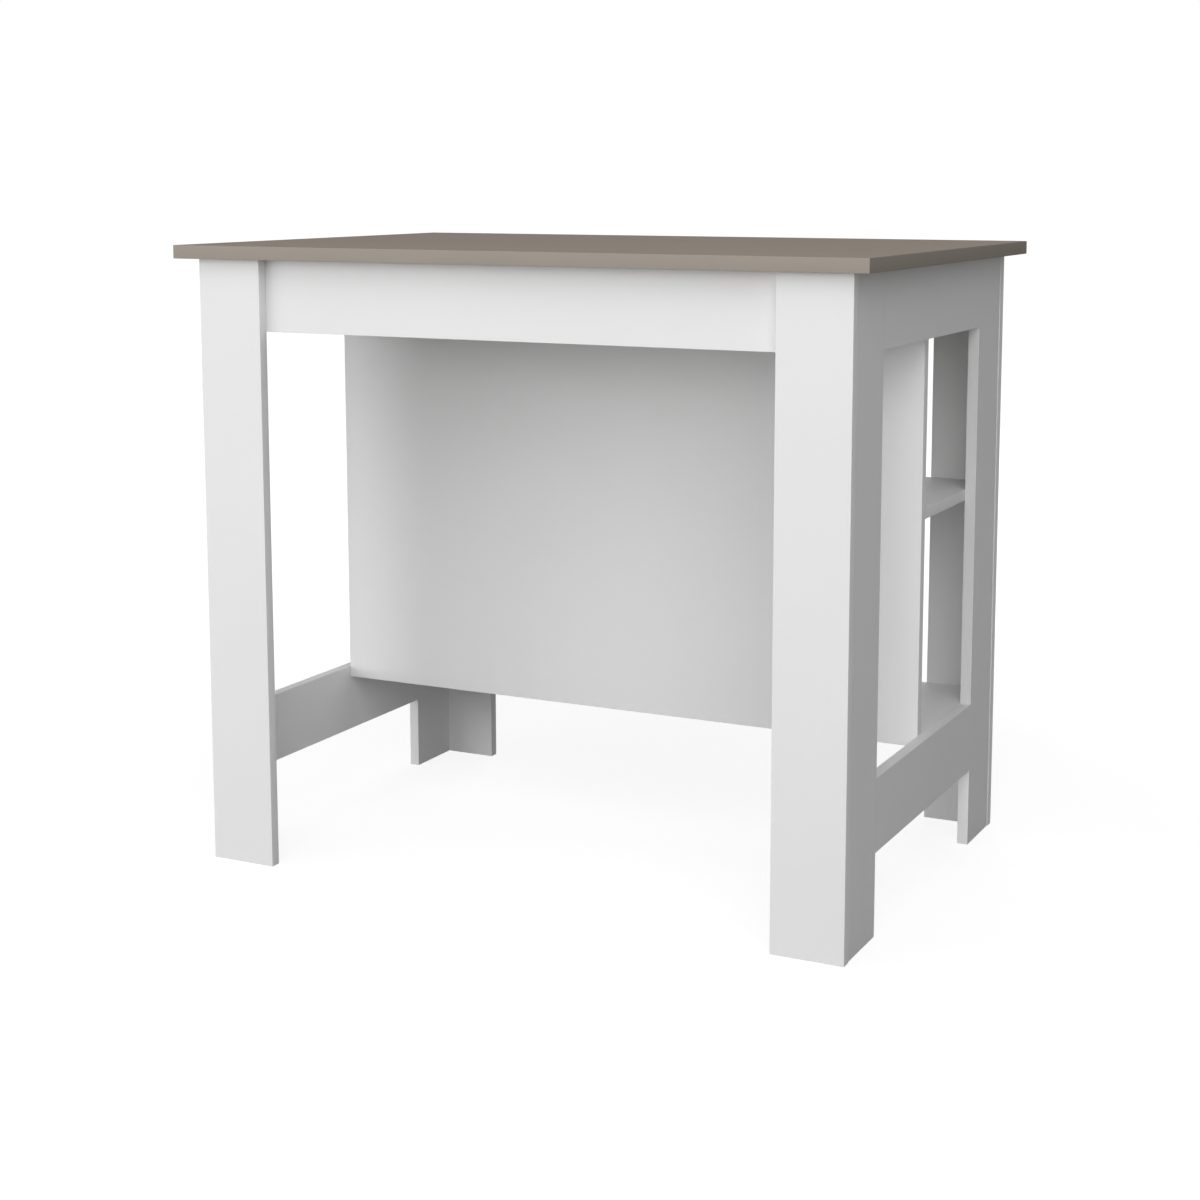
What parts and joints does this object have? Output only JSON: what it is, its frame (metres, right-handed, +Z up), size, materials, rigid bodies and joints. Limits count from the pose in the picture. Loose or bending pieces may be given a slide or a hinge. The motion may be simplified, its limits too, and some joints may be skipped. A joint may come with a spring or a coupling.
{
  "type": "kitchen island",
  "caption": "Kitchen island with a plain taupe worktop on white L-shaped board legs, an open knee space in front and shelves behind a divider panel.",
  "frame": {"origin": "on the floor, under the middle of the worktop", "axes": "+X along the worktop to the right, -Y towards the knee space at the front, +Z up"},
  "size_m": [1.038, 0.706, 0.9],
  "materials": {
    "worktop": "matt taupe laminate on board",
    "carcass": "satin white melamine on board",
    "dowel": "bare beech",
    "cam_bolt": "zinc plated",
    "cam_lock": "die-cast, bright",
    "bracket": "zinc plated sheet"
  },
  "bodies": {
    "root": {"worktop": "worktop", "front_left_leg_face": "carcass", "front_left_leg_side": "carcass", "front_right_leg_face": "carcass", "front_right_leg_side": "carcass", "back_left_leg_face": "carcass", "back_left_leg_side": "carcass", "back_right_leg_face": "carcass", "back_right_leg_side": "carcass", "left_top_rail": "carcass", "left_lower_rail": "carcass", "right_top_rail": "carcass", "right_lower_rail": "carcass", "front_apron": "carcass", "rear_apron": "carcass", "divider_panel": "carcass", "bottom_shelf": "carcass", "mid_shelf": "carcass", "front_left_leg_dowel_low": "dowel", "front_left_leg_dowel_high": "dowel", "left_top_rail_front_dowel_low": "dowel", "left_top_rail_front_dowel_high": "dowel", "left_lower_rail_front_dowel": "dowel", "front_right_leg_dowel_low": "dowel", "front_right_leg_dowel_high": "dowel", "right_top_rail_front_dowel_low": "dowel", "right_top_rail_front_dowel_high": "dowel", "right_lower_rail_front_dowel": "dowel", "back_left_leg_dowel_low": "dowel", "back_left_leg_dowel_high": "dowel", "left_top_rail_back_dowel_low": "dowel", "left_top_rail_back_dowel_high": "dowel", "left_lower_rail_back_dowel": "dowel", "back_right_leg_dowel_low": "dowel", "back_right_leg_dowel_high": "dowel", "right_top_rail_back_dowel_low": "dowel", "right_top_rail_back_dowel_high": "dowel", "right_lower_rail_back_dowel": "dowel", "bottom_shelf_left_dowel": "dowel", "bottom_shelf_left_edge_dowel": "dowel", "mid_shelf_left_dowel": "dowel", "mid_shelf_left_edge_dowel": "dowel", "divider_left_dowel": "dowel", "bottom_shelf_right_dowel": "dowel", "bottom_shelf_right_edge_dowel": "dowel", "mid_shelf_right_dowel": "dowel", "mid_shelf_right_edge_dowel": "dowel", "divider_right_dowel": "dowel", "left_lower_rail_front_cam_bolt": "cam_bolt", "right_lower_rail_front_cam_bolt": "cam_bolt", "left_lower_rail_back_cam_bolt": "cam_bolt", "right_lower_rail_back_cam_bolt": "cam_bolt", "left_lower_rail_front_cam_lock": "cam_lock", "right_lower_rail_front_cam_lock": "cam_lock", "left_lower_rail_back_cam_lock": "cam_lock", "right_lower_rail_back_cam_lock": "cam_lock", "front_left_corner_bracket": "bracket", "front_right_corner_bracket": "bracket", "back_left_corner_bracket": "bracket", "back_right_corner_bracket": "bracket"}
  },
  "joints": []
}
